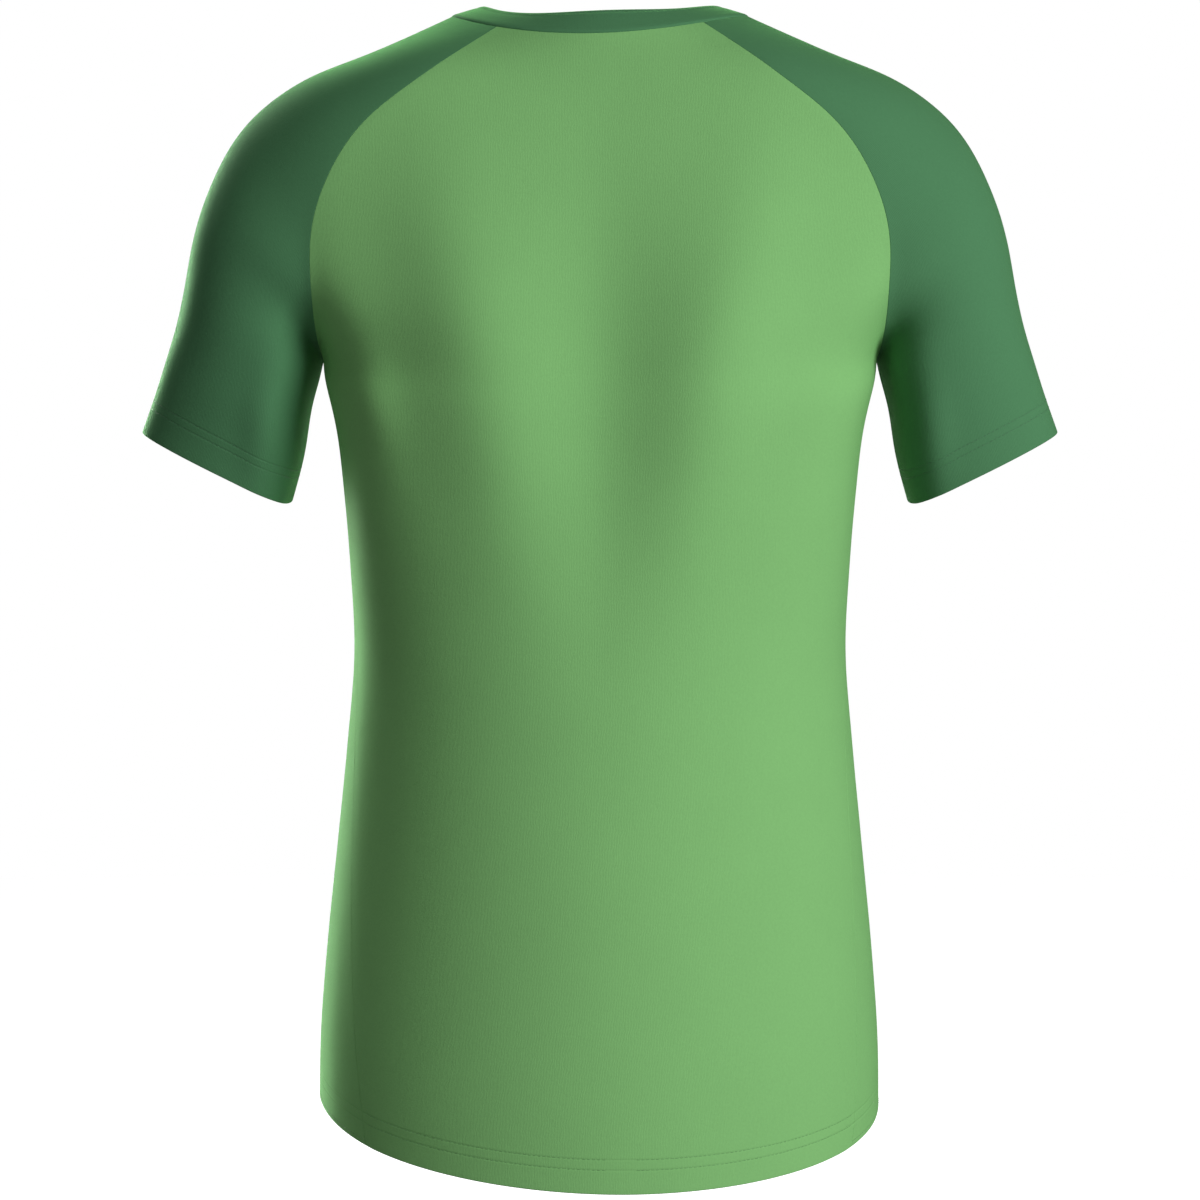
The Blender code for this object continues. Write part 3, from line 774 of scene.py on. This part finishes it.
def neck_band(form, material):
    """The folded neck band: a closed ring, proud of the shoulders by its seam's ridge."""
    neck = neck_edge(form)
    band = bmesh.new()
    band_uv = band.loops.layers.uv.new("cloth")
    rings, places, gone = [], [], 0.0
    for i, (point, normal) in enumerate(neck):
        lean = band_lean(math.atan2(point.x, point.y))
        following, before = neck[(i + 1) % len(neck)][0], neck[i - 1][0]
        outwards = lean.cross(following - before).normalized()
        ring = []
        for way, out in BAND_SECTION:
            facing = normal.lerp(outwards, way ** BAND_TURN).normalized()
            ring.append(band.verts.new(point + lean * way + facing * out))
        rings.append(ring)
        places.append(gone)
        gone += (following - point).length
    rings.append(rings[0])
    places.append(gone)
    width = [way * BAND_BACK_RISE + (0.0 if i < len(BAND_SECTION) // 2 else BAND_BACK_RISE)
             for i, (way, _) in enumerate(BAND_SECTION)]
    join_rings(band, band_uv, rings, lambda i, j: (places[i], width[j % len(width)]))
    bmesh.ops.recalc_face_normals(band, faces=band.faces)
    return finished(band, "neck_band", material)


def on_cloth(surface, point, sink=0.0):
    """The nearest place on the outer cloth, moved in by sink."""
    place, normal, _, _ = surface.find_nearest(Vector(point))
    return place - normal * sink


def laid(surface, lines):
    return [[on_cloth(surface, point) for point in line] for line in lines]


def line_over_edge(grid, distance):
    """The line on a grid that runs at this distance over the grid's last row."""
    points = np.array(grid)[::-1]
    return [read_line(points[:, c], distance) for c in range(points.shape[1])]


def stretch(line, low, high, spacing=LINE_SPACING):
    """The part of a line between two distances from its start, as evenly spaced points."""
    return read_line(line, np.linspace(low, high, max(2, round((high - low) / spacing) + 1)))


def trimmed(line, start, end, gap=0.0):
    """The line less its two ends, and in two where there is a gap at its middle."""
    gone = walked(line)
    last, middle = gone[-1] - end, gone[len(line) // 2]
    if not gap:
        return [stretch(line, start, last)]
    return [stretch(line, start, middle - gap / 2), stretch(line, middle + gap / 2, last)]


def path_object(name, lines):
    """Open lines of points as a mesh of edges only."""
    data = bpy.data.meshes.new(name)
    points, edges = [], []
    for line in lines:
        first = len(points)
        points += [tuple(point) for point in line]
        edges += [(first + i, first + i + 1) for i in range(len(line) - 1)]
    data.from_pydata(points, edges, [])
    item = bpy.data.objects.new(name, data)
    bpy.context.scene.collection.objects.link(item)
    return item


def add_node(tree, kind, **inputs):
    node = tree.nodes.new(kind)
    for name, value in inputs.items():
        node.inputs[name.replace("_", " ")].default_value = value
    return node


def link_all(tree, links):
    for output, node, name in links:
        tree.links.new(output, node.inputs[name])


def new_tree(name):
    """A node group that starts with its path's edges as curves."""
    tree = bpy.data.node_groups.new(name, "GeometryNodeTree")
    tree.interface.new_socket("Path", in_out="INPUT", socket_type="NodeSocketGeometry")
    tree.interface.new_socket("Thread", in_out="OUTPUT", socket_type="NodeSocketGeometry")
    curve = tree.nodes.new("GeometryNodeMeshToCurve")
    link_all(tree, ((tree.nodes.new("NodeGroupInput").outputs["Path"], curve, "Mesh"),))
    return tree, curve.outputs["Curve"]


def finish_tree(tree, thread):
    """Ends the group with the thread as one real and smooth mesh."""
    real = tree.nodes.new("GeometryNodeRealizeInstances")
    smooth = tree.nodes.new("GeometryNodeSetShadeSmooth")
    link_all(tree, (
        (thread, real, "Geometry"),
        (real.outputs["Geometry"], smooth, "Geometry"),
        (smooth.outputs["Geometry"], tree.nodes.new("NodeGroupOutput"), "Thread"),
    ))
    return tree


def needle_tree():
    """Needle stitches set one after another along every line of the path."""
    tree, curve = new_tree("needle_stitches")
    spaced = tree.nodes.new("GeometryNodeResampleCurve")
    spaced.mode = "LENGTH"
    spaced.inputs["Length"].default_value = STITCH_PITCH
    tangent = tree.nodes.new("GeometryNodeInputTangent")
    turned = tree.nodes.new("FunctionNodeAlignRotationToVector")
    turned.axis = "Z"
    bead = add_node(tree, "GeometryNodeMeshUVSphere",
                    Segments=STITCH_SIDES, Rings=STITCH_RINGS, Radius=1.0)
    beads = add_node(tree, "GeometryNodeInstanceOnPoints", Scale=(THREAD, THREAD, STITCH_LENGTH / 2))
    link_all(tree, (
        (curve, spaced, "Curve"),
        (spaced.outputs["Curve"], beads, "Points"),
        (bead.outputs["Mesh"], beads, "Instance"),
        (tangent.outputs["Tangent"], turned, "Vector"),
        (turned.outputs["Rotation"], beads, "Rotation"),
    ))
    return finish_tree(tree, beads.outputs["Instances"])


def looper_tree():
    """A fine thread that follows every line of the path."""
    tree, curve = new_tree("looper_thread")
    section = add_node(tree, "GeometryNodeCurvePrimitiveCircle",
                       Resolution=LOOPER_SIDES, Radius=LOOPER_THREAD)
    tube = add_node(tree, "GeometryNodeCurveToMesh", Fill_Caps=True)
    link_all(tree, ((curve, tube, "Curve"), (section.outputs["Curve"], tube, "Profile Curve")))
    return finish_tree(tree, tube.outputs["Mesh"])


def sewn(name, lines, tree, thread):
    """What the tree makes of these lines, as a plain mesh."""
    path = path_object(name + "_path", lines)
    path.modifiers.new("sewing", "NODES").node_group = tree
    return link_mesh(name, evaluated_mesh(path), thread)


# A seam allowance in section, as shares of its width and of its height over the inner face
AllowancePoint = namedtuple("AllowancePoint", "across height")
ALLOWANCE_SECTION = rows_of(AllowancePoint,
    (0.00, 0.0), (0.33, 0.0), (0.67, 0.0), (1.00, 0.0), (1.05, 0.5),
    (1.00, 0.9), (0.67, 1.0), (0.33, 1.0), (0.00, 0.9), (-0.05, 0.5),
)

# An overlocked seam: its line of points, and the side that its allowance is pressed to
Seam = namedtuple("Seam", "line lean")


def beside_seam(surface, seam, place, i, across, depth):
    """A point inside the shirt, at this distance across from the seam and this far in from outside."""
    ahead, behind = place[min(i + 1, len(place) - 1)], place[max(i - 1, 0)]
    _, normal, _, _ = surface.find_nearest(Vector(place[i]))
    aside = normal.cross(Vector(ahead - behind)).normalized() * seam.lean
    return on_cloth(surface, Vector(place[i]) + aside * across, depth)


def add_allowance(mesh, surface, seam):
    """Both layers of a seam's allowance as one flat, rounded strip."""
    uv = mesh.loops.layers.uv.verify()
    place = stretch(seam.line, 0.0, walked(seam.line)[-1], OVERLOCK_SPACING)
    section = [(across * OVERLOCK_WIDTH, CLOTH + OVERLOCK_CLEAR + height * OVERLOCK_HEIGHT)
               for across, height in ALLOWANCE_SECTION]
    rings = [[mesh.verts.new(beside_seam(surface, seam, place, i, *point)) for point in section]
             for i in range(len(place))]
    join_rings(mesh, uv, rings,
               lambda i, j: (i * OVERLOCK_SPACING, HEM_DEPTH + j * OVERLOCK_WIDTH / 3))
    mesh.faces.new(rings[0])
    mesh.faces.new(rings[-1])


def allowances(name, surface, seams, material):
    mesh = bmesh.new()
    mesh.loops.layers.uv.new("cloth")
    for seam in seams:
        add_allowance(mesh, surface, seam)
    bmesh.ops.recalc_face_normals(mesh, faces=mesh.faces)
    return finished(mesh, name, material)


def overlocking(surface, seam):
    """The thread's zigzag over an allowance."""
    place = stretch(seam.line, 0.0, walked(seam.line)[-1], OVERLOCK_PITCH / 2)
    depth = CLOTH + OVERLOCK_CLEAR + OVERLOCK_HEIGHT + LOOPER_THREAD / 2
    return [beside_seam(surface, seam, place, i, OVERLOCK_REACH[i % 2] * OVERLOCK_WIDTH, depth)
            for i in range(len(place))]


def looper_zigzag(surface, low, high):
    """The looper thread inside a hem, from one needle line to the other and back."""
    length = min(walked(low)[-1], walked(high)[-1])
    count = 2 * round(length / LOOPER_PITCH)
    pair = [stretch(line, 0.0, walked(line)[-1], walked(line)[-1] / count) for line in (low, high)]
    return [on_cloth(surface, pair[i % 2][i], CLOTH + TURNED) for i in range(count + 1)]


def maths(tree, operation, first, second=0.0, third=None):
    """A Math node on sockets or numbers; gives its output socket."""
    node = tree.nodes.new("ShaderNodeMath")
    node.operation = operation
    for i, value in enumerate((first, second, third)):
        if value is None:
            continue
        if isinstance(value, bpy.types.NodeSocket):
            tree.links.new(value, node.inputs[i])
        else:
            node.inputs[i].default_value = value
    return node.outputs[0]


def new_material(name, colour, roughness, specular):
    material = bpy.data.materials.new(name)
    material.use_nodes = True
    shader = material.node_tree.nodes["Principled BSDF"]
    shader.inputs["Base Color"].default_value = colour
    shader.inputs["Roughness"].default_value = roughness
    shader.inputs["Specular IOR Level"].default_value = specular
    return material, material.node_tree, shader


def shade_of(tree, colour, factor):
    """The colour, made lighter or darker by a factor socket."""
    mix = tree.nodes.new("ShaderNodeMix")
    mix.data_type = "RGBA"
    mix.blend_type = "MULTIPLY"
    mix.inputs["Factor"].default_value = 1.0
    mix.inputs["A"].default_value = colour
    tree.links.new(factor, mix.inputs["B"])
    return mix.outputs["Result"]


def noise(tree, scale, detail, roughness):
    """A noise texture in the piece's own coordinates."""
    coords = tree.nodes.new("ShaderNodeTexCoord")
    texture = add_node(tree, "ShaderNodeTexNoise", Scale=scale, Detail=detail, Roughness=roughness)
    tree.links.new(coords.outputs["Object"], texture.inputs["Vector"])
    return texture.outputs


def loop_relief(tree, across, up):
    """Columns and rows of knitted loops, which wander a little."""
    swayed = tree.nodes.new("ShaderNodeSeparateXYZ")
    tree.links.new(noise(tree, SWAY_SCALE, 2.0, 0.7)["Color"], swayed.inputs["Vector"])
    waves = []
    for axis, place, pitch in (("X", across, WALE), ("Y", up, COURSE)):
        place = maths(tree, "MULTIPLY_ADD", swayed.outputs[axis], SWAY, place)
        waves.append(maths(tree, "SINE", maths(tree, "MULTIPLY", place, 2 * math.pi / pitch)))
    return maths(tree, "MULTIPLY_ADD", maths(tree, "MULTIPLY", *waves), 0.5, waves[0])


def groove_relief(tree, up, lines):
    """Grooves along the lines at these heights over the cloth's edge."""
    grooves = []
    for line in lines:
        away = maths(tree, "DIVIDE", maths(tree, "SUBTRACT", up, line), GROOVE_WIDTH)
        squared = maths(tree, "MULTIPLY", maths(tree, "POWER", away, 2.0), -1.0)
        grooves.append(maths(tree, "EXPONENT", squared))
    return maths(tree, "ADD", *grooves)


def knit_material(name, colour, stitch_lines):
    """Fine interlock knit: loops in columns and rows, a slight grain, and grooves under the stitching."""
    material, tree, shader = new_material(name, colour, KNIT_ROUGHNESS, KNIT_SPECULAR)
    shader.inputs["Sheen Weight"].default_value = SHEEN
    shader.inputs["Sheen Roughness"].default_value = SHEEN_ROUGHNESS
    shader.inputs["Sheen Tint"].default_value = SHEEN_TINT
    uv = tree.nodes.new("ShaderNodeUVMap")
    uv.uv_map = "cloth"
    place = tree.nodes.new("ShaderNodeSeparateXYZ")
    tree.links.new(uv.outputs["UV"], place.inputs["Vector"])
    across, up = place.outputs["X"], place.outputs["Y"]
    grain = noise(tree, GRAIN_SCALE, 2.0, 0.6)["Fac"]
    cloud = noise(tree, CLOUD_SCALE, 2.0, 0.5)["Fac"]
    tone = maths(tree, "MULTIPLY_ADD", grain, GRAIN_TONE, BASE_TONE)
    tone = maths(tree, "MULTIPLY_ADD", cloud, CLOUD_TONE, tone)
    tree.links.new(shade_of(tree, colour, tone), shader.inputs["Base Color"])
    height = maths(tree, "MULTIPLY", loop_relief(tree, across, up), LOOP_RELIEF)
    height = maths(tree, "MULTIPLY_ADD", grain, GRAIN_RELIEF, height)
    height = maths(tree, "MULTIPLY_ADD", groove_relief(tree, up, stitch_lines), GROOVE_RELIEF, height)
    bump = add_node(tree, "ShaderNodeBump", Strength=BUMP_STRENGTH, Distance=BUMP_DEPTH)
    tree.links.new(height, bump.inputs["Height"])
    tree.links.new(bump.outputs["Normal"], shader.inputs["Normal"])
    return material


def thread_material(name, colour):
    """Twisted polyester sewing thread."""
    material, tree, shader = new_material(name, colour, 0.6, 0.4)
    tone = maths(tree, "MULTIPLY_ADD", noise(tree, 2500.0, 1.0, 0.5)["Fac"], 0.3, 0.85)
    tree.links.new(shade_of(tree, colour, tone), shader.inputs["Base Color"])
    return material


def dress(item):
    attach(item, "root")


def seam_line(side, points):
    return [settled(np.asarray(point) * (side, 1, 1)) for point in points]


def side_seams():
    """From the underarm to the top of the turned hem, pressed to the back."""
    heights = np.linspace(BODY[0].height, BODY[-1].height + HEM_DEPTH, SEAM_POINTS)
    seams = []
    for side in (1, -1):
        line = seam_line(side, [body_point(True, height, 1.0) for height in heights])
        seams.append(Seam(trimmed(line, UNDERARM_CLEAR, 0.0)[0], side))
    return seams


def sleeve_seams(form):
    """Both raglan seams in one run round each sleeve, the sleeves' underarm seams, and the neck's."""
    seams = []
    stations = np.linspace(0.0, UNDERARM, SEAM_POINTS)
    cuffwards = np.linspace(UNDERARM, cuff_stations()[0], SLEEVE_SEAM_POINTS)
    for side in (1, -1):
        back = [panel_point(True, ("yoke", station), 1.0) for station in stations]
        front = [panel_point(False, ("yoke", station), 1.0) for station in stations[::-1]]
        line = seam_line(side, back + front[1:])
        seams.append(Seam(trimmed(line, OVERLOCK_START, OVERLOCK_START)[0], -side))
        line = seam_line(side, [sleeve_point(True, station, 0.0) for station in cuffwards])
        seams.append(Seam(trimmed(line, UNDERARM_CLEAR, 0.0)[0], -side))
    neck = [tuple(point) for point, _ in neck_edge(form)]
    seams.append(Seam(np.array(neck + neck[:1]), 1))
    return seams


def make_panels(form, knits):
    for piece, cut in enumerate(CUTS):
        item = knit_shell(form, piece, knits[cut.slot])
        dress(item)
        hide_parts(cut.node)


def make_collar(form, knit):
    band = neck_band(form, knit)
    dress(band)
    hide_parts("collar")


def sew_inside(form, surface, looper, knits, threads):
    """The overlocked seam allowances, and the thread over them."""
    for name, slot, seams in (("side_seam", "body_knit", side_seams()),
                              ("sleeve_seam", "sleeve_knit", sleeve_seams(form))):
        dress(allowances(name + "_allowances", surface, seams, knits[slot]))
        lines = [overlocking(surface, seam) for seam in seams]
        dress(sewn(name + "_overlocking", lines, looper, threads[slot]))


def sew_hem(surface, needle, looper, thread):
    """Two needle lines with the looper thread inside, and short edge stitches on the front."""
    bottom = BODY[-1].height
    rows = [("body", height) for height in np.linspace(bottom + 2 * HEM_DEPTH, bottom, LINE_ROWS)]
    back, front = panel_grid(True, rows, HEM_COLUMNS), panel_grid(False, rows, HEM_COLUMNS)
    low, high = [trimmed(line_over_edge(back, distance), SIDE_GAP, SIDE_GAP, HEM_GAP)
                 + trimmed(line_over_edge(front, distance), FRONT_HEM_START, FRONT_HEM_START)
                 for distance in HEM_LINES]
    inside = [looper_zigzag(surface, *pair) for pair in zip(low, high)]
    dress(sewn("hem_looper_thread", inside, looper, thread))
    edge = line_over_edge(front, EDGE_LINE)
    length = walked(edge)[-1]
    edges = [stretch(edge, SIDE_GAP / 2, EDGE_LENGTH),
             stretch(edge, length - EDGE_LENGTH, length - SIDE_GAP / 2)]
    dress(sewn("hem_stitching", laid(surface, low + high + edges), needle, thread))


def sew_cuffs(surface, needle, looper, thread):
    stations = np.linspace(cuff_stations()[0] - CUFF_RISE, CUFF, LINE_ROWS)
    for side, name in ((1, "left_cuff"), (-1, "right_cuff")):
        grid = sleeve_grid(side, stations, CUFF_COLUMNS)
        cuff = [line_over_edge(grid, distance) for distance in CUFF_LINES]
        inside = [looper_zigzag(surface, *cuff)]
        dress(sewn(name + "_stitching", laid(surface, cuff), needle, thread))
        dress(sewn(name + "_looper_thread", inside, looper, thread))


def make_sewing(form, knits, threads):
    surface = BVHTree.FromPolygons([v.co for v in form.vertices], [p.vertices for p in form.polygons])
    needle, looper = needle_tree(), looper_tree()
    sew_inside(form, surface, looper, knits, threads)
    sew_hem(surface, needle, looper, threads["body_knit"])
    sew_cuffs(surface, needle, looper, threads["sleeve_knit"])


def aim(item, place, target):
    item.location = place
    item.rotation_mode = "QUATERNION"
    item.rotation_quaternion = (Vector(target) - Vector(place)).to_track_quat("-Z", "Y")


def add_light(lamp):
    data = bpy.data.lights.new(lamp.name, "AREA")
    data.shape = "RECTANGLE"
    data.size, data.size_y = lamp.width, lamp.height
    data.spread = math.radians(lamp.spread)
    data.energy = lamp.power
    item = bpy.data.objects.new(lamp.name, data)
    item.visible_camera = False
    bpy.context.scene.collection.objects.link(item)
    aim(item, lamp.place, lamp.target)


EYE = (0.0, 1.9, -0.3584)
VIEW_WIDTH = 0.7416  # of the picture, at the shirt
SENSOR = 36.0


def make_camera():
    data = bpy.data.cameras.new("camera")
    data.sensor_width = SENSOR
    data.lens = SENSOR * EYE[1] / VIEW_WIDTH
    camera = bpy.data.objects.new("camera", data)
    aim(camera, EYE, (0.0, 0.0, EYE[2]))
    bpy.context.scene.collection.objects.link(camera)
    bpy.context.scene.camera = camera


def plain_stage(name, mesh, colour, glow):
    """A pale surface of the studio."""
    material, _, shader = new_material(name, colour, 0.9, 0.0)
    shader.inputs["Emission Color"].default_value = (1, 1, 1, 1)
    shader.inputs["Emission Strength"].default_value = glow
    item = finished(mesh, name, material)
    return item


FLOOR_HEIGHT = -1.05
FLOOR_GLOW = 0.90
STUDIO = 6.0  # radius of the backdrop
SKY = 0.190  # strength of the light from all round

# Area lights, with what each faces and the angle it shines over
MIDDLE = (0.0, 0.0, -0.35)
Lamp = namedtuple("Lamp", "name place width height power target spread")
LAMPS = rows_of(Lamp,
    ("key", (-1.90, 1.90, 0.20), 1.3, 1.3, 67.5, MIDDLE, 180),
    ("shoulder light", (1.40, -1.70, 0.90), 0.9, 0.9, 52.0, MIDDLE, 180),
    ("rim", (0.98, -1.22, -0.40), 0.4, 1.5, 7.5, (0.55, 0.00, -0.40), 54),
    ("front fill", (-0.40, -2.40, 0.00), 1.2, 1.2, 10.0, MIDDLE, 180),
)


def make_studio():
    floor = bmesh.new()
    bmesh.ops.create_circle(floor, cap_ends=True, segments=96, radius=STUDIO * 0.98)
    bmesh.ops.translate(floor, verts=floor.verts, vec=(0, 0, FLOOR_HEIGHT))
    ground = plain_stage("floor", floor, (0.5, 0.5, 0.5, 1), FLOOR_GLOW)
    ground.visible_diffuse = False
    dome = bmesh.new()
    bmesh.ops.create_uvsphere(dome, u_segments=48, v_segments=24, radius=STUDIO)
    bmesh.ops.reverse_faces(dome, faces=dome.faces)
    backdrop = plain_stage("backdrop", dome, (0, 0, 0, 1), 1.0)
    backdrop.visible_diffuse = backdrop.visible_glossy = backdrop.visible_shadow = False
    world = bpy.data.worlds.new("soft white")
    world.use_nodes = True
    background = world.node_tree.nodes["Background"]
    background.inputs["Color"].default_value = (1, 1, 1, 1)
    background.inputs["Strength"].default_value = SKY
    bpy.context.scene.world = world
    for lamp in LAMPS:
        add_light(lamp)


def make_shirt():
    knits = {"body_knit": knit_material("light_green_knit", LIGHT_GREEN, HEM_LINES),
             "sleeve_knit": knit_material("dark_green_knit", DARK_GREEN, CUFF_LINES)}
    # the thread colours hold painted groove shade over the cloth's green
    threads = {"body_knit": thread_material("light_green_thread_painted_shade", LIGHT_THREAD_PAINTED_SHADE),
               "sleeve_knit": thread_material("dark_green_thread_painted_shade", DARK_THREAD_PAINTED_SHADE)}
    form = draped_form()
    make_panels(form, knits)
    make_collar(form, knits["sleeve_knit"])
    make_sewing(form, knits, threads)
    bpy.data.meshes.remove(form)


bpy.context.scene.view_settings.view_transform = "Standard"
make_camera()
make_studio()
make_shirt()

bpy.context.view_layer.update()
